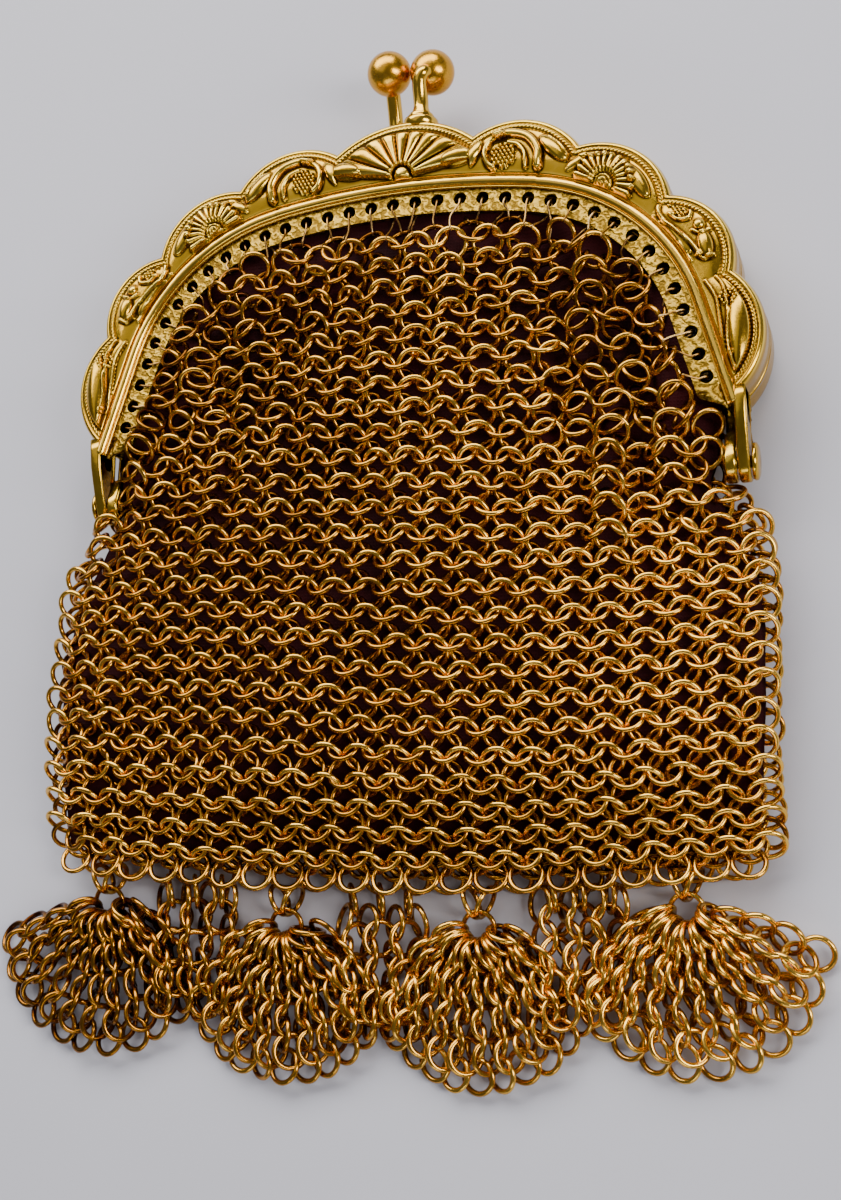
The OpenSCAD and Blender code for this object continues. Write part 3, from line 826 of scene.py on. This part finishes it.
def bag_mesh():
    """Both sheets of the bag, cut into pieces that ride with a half of the frame, or stay where they lie."""
    rng = np.random.default_rng(21)
    made, tops = {}, {}
    for back in (False, True):
        row, c, tan, dn, nrm = bag_rows(back)
        lean = np.where(row % 2 == 0, 1.0, -1.0)[:, None]
        bvec = dn * math.cos(TILT) + lean * nrm * math.sin(TILT)
        face = nrm * math.cos(TILT) - lean * dn * math.sin(TILT)
        tan = tan * math.cos(YAW) + face * math.sin(YAW)
        loose = 0.25 + 1.1 * smoothstep(2, 27, c[:, 1]) + 0.5 * smoothstep(26, 34, np.abs(c[:, 0]))
        c2, a2, b2 = loosen(c, tan, bvec, nrm, loose, rng)
        c2 = on_table(c2, a2, b2, RING_R, WIRE_R)
        tops[back] = (c2, a2, b2)
        # a slow wave of tone, and painted shade that darkens the rings towards the upper left
        tone = 0.47 + 0.08 * np.sin(c[:, 0] * 0.09 + c[:, 1] * 0.05) + 0.0022 * c[:, 0] - 0.0012 * c[:, 1]
        # painted highlight on the odd rows and painted shade on the even rows along each ridge; painted shade
        # on the rows near the frame
        tone = tone - 0.13 * lean[:, 0] - 0.10 * smoothstep(2, 20, c[:, 1])
        # painted shade on the rings in the upper right, where the pleats shadow them
        tone = tone - 0.16 * smoothstep(10, 22, c[:, 0]) * smoothstep(-8, 4, c[:, 1])
        c2 = c2 - 0.05 * lean * nrm
        word = "back" if back else "front"
        for i, (hi, lo) in enumerate(zip(BANDS[:-1], BANDS[1:])):
            pick = (c[:, 1] <= hi) & (c[:, 1] > lo)
            if not pick.any():
                continue
            ob = ring_piece(f"{word}_rings_{i}", c2[pick], a2[pick], b2[pick], tone[pick], rng, out=nrm[pick])
            if not back and lo >= 8.0:
                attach(ob, "front_half")
            elif not back and hi > -12.0:
                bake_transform(ob)
            elif hi < -37.0:
                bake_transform(ob)
            else:
                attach(ob, "back_half")
            made.setdefault(word, ob)
    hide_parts("front_mesh")
    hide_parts("mesh_bag")
    return tops


LINING_IN, LINING_T, LINING_EDGE = 1.45, 0.12, -1.15
LINING_TOP, LINING_FOOT = 28.6, -36.2


def arch_half(y, d):
    """Half width of the opening at y, a distance d outside the line of holes."""
    y = np.asarray(y, float)
    e = math.radians(SIDE_DEG)
    top = np.sqrt(np.maximum((TOP_R + d) ** 2 - (y - TOP_Y + TOP_R) ** 2, 0))
    cor = COR_X + np.sqrt(np.maximum((COR_R + d) ** 2 - (y - COR_Y) ** 2, 0))
    side = COR_X + (COR_R + d) * math.cos(e) - (y - COR_Y - (COR_R + d) * math.sin(e)) * math.tan(e)
    lim = COR_Y + (COR_R + d) * math.sin(e)
    corner_top = COR_Y + (COR_R + d) * math.cos(math.radians(TOP_DEG))
    return np.where(y < lim, side, np.where(y < corner_top, cor, top))


def lining_sheet(name, back):
    """One sheet of the lining, from under the sewing strip to its seam at the bottom."""
    n_u, n_v = 181, 170
    v = np.linspace(0, 1, n_v)
    v = np.where(v > 0.8, 0.8 + 0.2 * np.sin((v - 0.8) / 0.2 * np.pi / 2), v)
    u = np.linspace(-1, 1, n_u)
    verts = np.zeros((n_v, n_u, 3))
    for k, y in enumerate(LINING_FOOT + (LINING_TOP - LINING_FOOT) * v):
        w = float(half_width(y)) - LINING_IN - 1.1 * float(smoothstep(-13, -6, y) * smoothstep(3, -2, y))
        if y > 1.0:
            w = min(w, float(arch_half(max(y, 9.0), LINING_EDGE)))
        w = w + (32.2 - w) * float(smoothstep(-3.0, 0.5, y) * smoothstep(9.0, 6.0, y))
        x = u * w
        z = sheet_height(x, y, LINING_IN, (1.58, 0.35))
        fold = pleat(x, y, back) * smoothstep(0.0, 2.2, z)
        z = np.maximum(z + fold * np.where(fold < 0, 1.05, 0.55), 0.12)
        if y > 6:
            # towards the frame the cloth rises to the underside of the strip
            edge = 1 - smoothstep(0.2, 2.6, arch_inside(x, np.full(n_u, y)) + LINING_EDGE)
            z = z + edge * (2.42 - z)
        verts[k, :, 0] = x + drape_shift(y)
        verts[k, :, 1] = y - 1.6 * smoothstep(6, -40, y) * np.clip(1 - (x / 40) ** 2, 0, 1)
        verts[k, :, 2] = z + (-1 if back else 1) * float(middle(y))
    sign = -1 if back else 1
    # two skins a cloth's thickness apart
    inner = verts.copy()
    inner[..., 2] -= LINING_T
    both = np.concatenate([verts.reshape(-1, 3), inner.reshape(-1, 3)])
    both[:, 2] = AXIS_Z + sign * both[:, 2]
    f = grid_faces(n_v, n_u)
    n = n_v * n_u
    faces = [f, f[:, ::-1] + n]
    idx = np.arange(n).reshape(n_v, n_u)
    rim = np.concatenate([idx[0], idx[1:, -1], idx[-1, ::-1][1:], idx[::-1, 0][1:-1]])
    nxt = np.roll(rim, -1)
    faces.append(np.stack([nxt, rim, rim + n, nxt + n], 1))
    if sign > 0:
        faces = [g[:, ::-1] for g in faces]
    ob = build(name, both, faces, CLOTH)
    if back:
        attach(ob, "back_half")
    else:
        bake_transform(ob)
    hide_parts("lining" if back else "front_lining")


THREAD_R = 0.115


def sewing(name, sign, body, node, rings_at):
    """Fine wire from each hole down to the nearest rings of the top edge."""
    c, a, b = rings_at
    bat = Batch()
    rng = np.random.default_rng(5 + sign)
    for i in range(-HOLES, HOLES):
        p, n = (w[0] for w in arch([(i + 0.5) * HOLE_PITCH]))
        hole = beside(p, n, 0.0, AXIS_Z + sign * (STRIP_TOP - 0.3))
        d = np.hypot(c[:, 0] - (p[0] - 3.6 * n[0]), c[:, 1] - (p[1] - 3.6 * n[1]))
        order = np.argsort(d)[:2]
        for j, r in enumerate(order):
            if d[r] > 3.4 or (j == 1 and rng.random() < 0.35):
                continue
            ang = np.linspace(0, 2 * np.pi, 24, endpoint=False)
            rim = c[r] + RING_R * (np.cos(ang)[:, None] * a[r] + np.sin(ang)[:, None] * b[r])
            q = rim[np.argmin(np.linalg.norm(rim[:, :2] - p, axis=1))]
            over = sign * (0.34 if j == 0 else -0.30)
            w, z = (-0.75, STRIP_TOP + 0.22) if j == 0 else (-0.9, 2.4)
            lip = beside(p, n, w, AXIS_Z + sign * z)
            mid = lip * 0.45 + q * 0.55 + np.array([rng.normal(0, 0.15), rng.normal(0, 0.1), over * 0.6])
            end = q + np.array([0, -0.2, sign * 0.02])
            start = hole + np.array([0, 0, -sign * 0.5])
            turn = hole + [0, 0, sign * (0.25 if j == 0 else -0.5)]
            path = spline([start, turn, lip, mid, q + [0, 0, sign * 0.33], end], 26)
            path[:, 2] = np.maximum(path[:, 2], THREAD_R + TABLE_CLEAR)
            bat.add(*tube(path, THREAD_R, 7), np.clip(0.5 + rng.normal(0, 0.15), 0, 1))
    place(bat.make(name, THREAD), body, node)


# ---- the fringe
HUBS = [(-33.15, -42.3), (-12.85, -44.3), (7.45, -44.3), (27.75, -42.3)]
FAN_COLS, FAN_ROWS = 11, 4
FRINGE_R, FRINGE_WIRE = 1.64, 0.285


def fan_rings(i, rng):
    """Rings of one fan, in columns that leave its hub like a fountain and fall to the scalloped edge."""
    hx, hy = HUBS[i]
    open_left, open_right = i == 0, i == 3
    first, last = (-178 if open_left else -153), (-2 if open_right else -27)
    cs, as_, bs = [], [], []
    for j in range(2 * FAN_COLS - 1):
        f = j / (2 * FAN_COLS - 2)
        phi = math.radians(-177 + 174 * f)
        e = math.radians(first + (last - first) * f)
        out = 10.6
        if (open_left and f < 0.5) or (open_right and f > 0.5):
            out += abs(1 - 2 * f)
        start = 2.7 * np.array([math.cos(phi), math.sin(phi)])
        ctrl = 6.6 * np.array([math.cos(phi), math.sin(phi) - 0.12])
        end = np.array([out * math.cos(e), out * math.sin(e) - 3.3])
        t = np.linspace(0, 1, 80)[:, None]
        line = (1 - t) ** 2 * start + 2 * t * (1 - t) * ctrl + t * t * end
        ln = length_along(line[:, 0], line[:, 1])
        odd = j % 2
        for k in range(FAN_ROWS):
            at = (k + 0.5 * (1 - odd)) * ln[-1] / (FAN_ROWS - 0.5)
            q, g, h = (np.array([np.interp(at + w, ln, line[:, m]) for m in (0, 1)]) for w in (0, 0.4, -0.4))
            d = unit(g - h)
            hem = k == FAN_ROWS - 1 and not odd
            ct = 0.93 if hem else 0.30 + 0.48 * (at / ln[-1]) ** 0.8
            st = math.sqrt(1 - ct * ct)
            z = 0.32 + FRINGE_R * st + (0.35 if odd else 0.0) + 0.25 * (1 - at / ln[-1])
            cs.append([hx + q[0], hy + q[1], z])
            as_.append([d[0], d[1], -0.04])
            bs.append([-d[1] * ct, d[0] * ct, -st if odd else st])
    c, a, b = ring_axes(cs, as_, bs)
    return loosen(c, a, b, np.cross(a, b), 0.8, rng)


def ring_axes(c, a, b):
    """Ring centres and their two axes, made square to each other."""
    c, a, b = np.array(c), unit(np.array(a)), unit(np.array(b))
    return c, a, unit(b - a * np.sum(a * b, 1, keepdims=True))


def fringe():
    rng = np.random.default_rng(33)
    # painted shade: the fans and their hub rings darker to the left, lighter to the right
    fan_shades = [0.20, 0.40, 0.50, 0.62]
    for i in range(4):
        c, a, b = fan_rings(i, rng)
        ob = ring_piece(f"fan_rings_{i + 1}", c, a, b, np.full(len(c), fan_shades[i]), rng, FRINGE_R, FRINGE_WIRE)
        place(ob, "fringe", f"fan_{i + 1}")
    c = np.array([[x, y, 1.75] for x, y in HUBS])
    a = np.tile([1.0, 0.0, 0.05], (4, 1))
    b = np.tile([0.0, 0.96, 0.28], (4, 1))
    ob = ring_piece("hub_rings_seen", c, unit(a), unit(b), np.array(fan_shades), rng, 1.62, 0.26)
    place(ob, "fringe", "hub_rings")
    # rings that hang the hubs and the webs from the bag's last row
    cs, as_, bs = [], [], []
    for x, y in HUBS:
        for side in (-1, 1):
            d = unit(np.array([side * 0.42, 1.0]))
            cs.append([x + side * 0.72, y + 2.45, 2.1])
            as_.append([d[0], d[1], 0.22])
            bs.append([-d[1] * 0.14, d[0] * 0.14, 0.98])
    webs = []
    for i in range(3):
        xm = (HUBS[i][0] + HUBS[i + 1][0]) / 2
        ym = max(HUBS[i][1], HUBS[i + 1][1]) + 0.4
        for k, dx in enumerate((-2.9, 0.0, 2.9)):
            cs.append([xm + dx, -41.1 - 0.7 * (i == 1), 2.1])
            as_.append([0.1 * k - 0.1, 0.95, 0.3])
            bs.append([0.45, 0.0, 0.9])
        webs.append([(xm + (k - 3) * 1.3 * (1 - 0.05 * m), ym - (m + 0.5 * (k % 2)) * 3.2, k)
                     for k in range(7) for m in range(4 - k % 2)])
    c, a, b = ring_axes(cs, as_, bs)
    ob = ring_piece("link_rings_seen", c, a, b, np.full(len(c), 0.5), rng)
    place(ob, "fringe", "link_rings")
    ct = 0.70
    st = math.sqrt(1 - ct * ct)
    for i, web in enumerate(webs):
        c = np.array([[x, y, 1.75] for x, y, _ in web])
        a = unit(np.tile([0.0, -1.0, -0.03], (len(web), 1)))
        b = np.array([[ct, 0, -st if k % 2 else st] for _, _, k in web])
        c, a, b = loosen(c, a, b, np.cross(a, b), 1.0, rng)
        # painted shade: the webs darker to the left
        tone = np.full(len(c), 0.35 + 0.1 * i)
        ob = ring_piece(f"web_rings_{i + 1}", c, a, b, tone, rng, FRINGE_R, FRINGE_WIRE)
        place(ob, "fringe", f"web_{i + 1}")


# ---- the clasp
BALL_R, POST_R = 2.4, 0.80
COLLAR_Y = 38.75        # foot of each collar on the middle scallop


def clasp(sign, body, word, ball, foot_x, bend):
    """Collar, post and ball of one half; bend is the points the post runs through above its collar."""
    foot = np.array([foot_x, COLLAR_Y, AXIS_Z + sign * 2.2])
    prof = [(0.2, -0.5), (1.55, -0.5), (1.75, -0.1), (1.84, 0.15), (1.86, 0.4), (1.80, 0.66), (1.42, 0.76),
            (1.34, 0.84), (1.36, 1.0), (1.38, 1.2), (1.30, 1.32), (0.9, 1.38), (0.2, 1.38)]
    skin = lathe(prof, foot, (0, 1, 0), 48)
    single(f"{word}_collar_turned", skin, 0.55, POLISHED, body, f"{word}_collar")
    ball = np.array(ball, float) + [0, 0, AXIS_Z]
    path = spline([foot + [0, 1.2, 0]] + [np.array(q) + [0, 0, AXIS_Z] for q in bend], 40)
    u = np.linspace(0, 1, 40)
    rad = POST_R + 0.28 * smoothstep(0.14, 0.0, u) - 0.06 * smoothstep(0.5, 0.9, u)
    skin = tube(path, rad, 28)
    single(f"{word}_post_bent", skin, 0.55, POLISHED, body, f"{word}_post")
    a = np.linspace(0, np.pi, 34)
    prof = np.stack([BALL_R * np.sin(a) + 1e-4, -BALL_R * np.cos(a)], 1)
    skin = lathe(prof, ball, path[-1] - path[-4], 64)
    single(f"{word}_ball_turned", skin, 0.5, WORN, body, f"{word}_ball")


def single(name, skin, tone, mat, body, node):
    """A piece of one closed skin."""
    bat = Batch()
    bat.add(*skin, tone=tone)
    place(bat.make(name, mat), body, node)


def rivets():
    prof = [(0.02, -0.42), (0.75, -0.42), (1.0, -0.25), (1.08, 0.0), (0.6, 0.0), (0.6, 2.4), (1.2, 2.42),
            (1.75, 2.46), (1.85, 2.62), (1.80, 2.86), (1.45, 3.02), (0.9, 3.08), (0.02, 3.10)]
    for side, word in ((-1, "left"), (1, "right")):
        skin = lathe(prof, (side * 32.7, 0, AXIS_Z), (side, 0, 0), 40)
        single(f"{word}_rivet_headed", skin, 0.45, POLISHED, "back_half", f"{word}_rivet")


# ---- put it together
for make, piece, node in ((frame_face, "scallops", "frame"), (rib, "rib_rolled", "rib"),
                          (sewing_strip, "strip_pierced", "sewing_strip")):
    for word, sign in (("front", 1), ("back", -1)):
        make(f"{word}_{piece}", sign, f"{word}_half", f"{word}_{node}")
legs("front_legs", 1, "front_half", 33.85)
legs("back_legs", -1, "back_half", 32.55)
clasp(1, "front_half", "front", (2.15, 45.55, 1.2), 1.35,
      [(1.34, 41.6, 2.35), (1.32, 42.9, 2.8), (1.42, 43.8, 3.2), (1.85, 44.45, 3.35), (2.3, 44.9, 2.6)])
clasp(-1, "back_half", "back", (-2.75, 46.15, 1.2), -2.9,
      [(-2.9, 42.2, -1.6), (-2.8, 44.6, -0.2), (-2.75, 45.6, 0.7)])
rivets()
TOPS = bag_mesh()
lining_sheet("front_lining_cloth", False)
lining_sheet("back_lining_cloth", True)
sewing("front_sewing", 1, "front_half", "front_sewing_wires", TOPS[False])
sewing("back_sewing", -1, "back_half", "back_sewing_wires", TOPS[True])
fringe()


# ---- table, light and camera
def stand(name, data, at, turn=(0, 0, 0)):
    o = bpy.data.objects.new(name, data)
    o.location, o.rotation_euler = at, turn
    bpy.context.scene.collection.objects.link(o)
    return o


def studio():
    me = bpy.data.meshes.new("table_top")
    me.from_pydata([(-2, -2, 0), (2, -2, 0), (2, 2, 0), (-2, 2, 0)], [], [(0, 1, 2, 3)])
    me.materials.append(floor_material())
    stand("table_top", me, (0, 0, -0.00002))
    world = bpy.data.worlds.new("soft_room")
    bpy.context.scene.world = world
    world.use_nodes = True
    bg = world.node_tree.nodes["Background"]
    bg.inputs[0].default_value = (0.80, 0.84, 0.95, 1)
    bg.inputs[1].default_value = 0.16
    lights = [("window", (-0.16, 0.54, 0.46), (1.10, 0.44), 11.5, (1.0, 0.98, 0.96)),
              ("overhead", (-0.20, 0.20, 0.62), (0.60, 0.50), 0.55, (1.0, 0.98, 0.95)),
              ("right_fill", (0.50, -0.06, 0.40), (0.16, 0.34), 2.6, (1.0, 0.96, 0.92)),
              ("low_front", (0.05, -0.60, 0.30), (0.50, 0.12), 0.8, (0.95, 0.97, 1.0))]
    for name, at, size, power, colour in lights:
        d = bpy.data.lights.new(name, "AREA")
        d.shape = "RECTANGLE"
        d.size, d.size_y = size
        d.energy, d.color = power, colour
        stand(name, d, at, (-Vector(at)).to_track_quat("-Z", "Y").to_euler())


def camera():
    d = bpy.data.cameras.new("view")
    d.sensor_fit, d.sensor_width = "AUTO", 36.0
    d.lens = 18.0 / math.tan(math.radians(20))
    d.clip_start, d.clip_end = 0.005, 10.0
    turn = tuple(math.radians(a) for a in (12.350952, 18.565140, 1.310133))
    bpy.context.scene.camera = stand("view", d, (0.0541834, -0.0463603, 0.158654), turn)


studio()
camera()
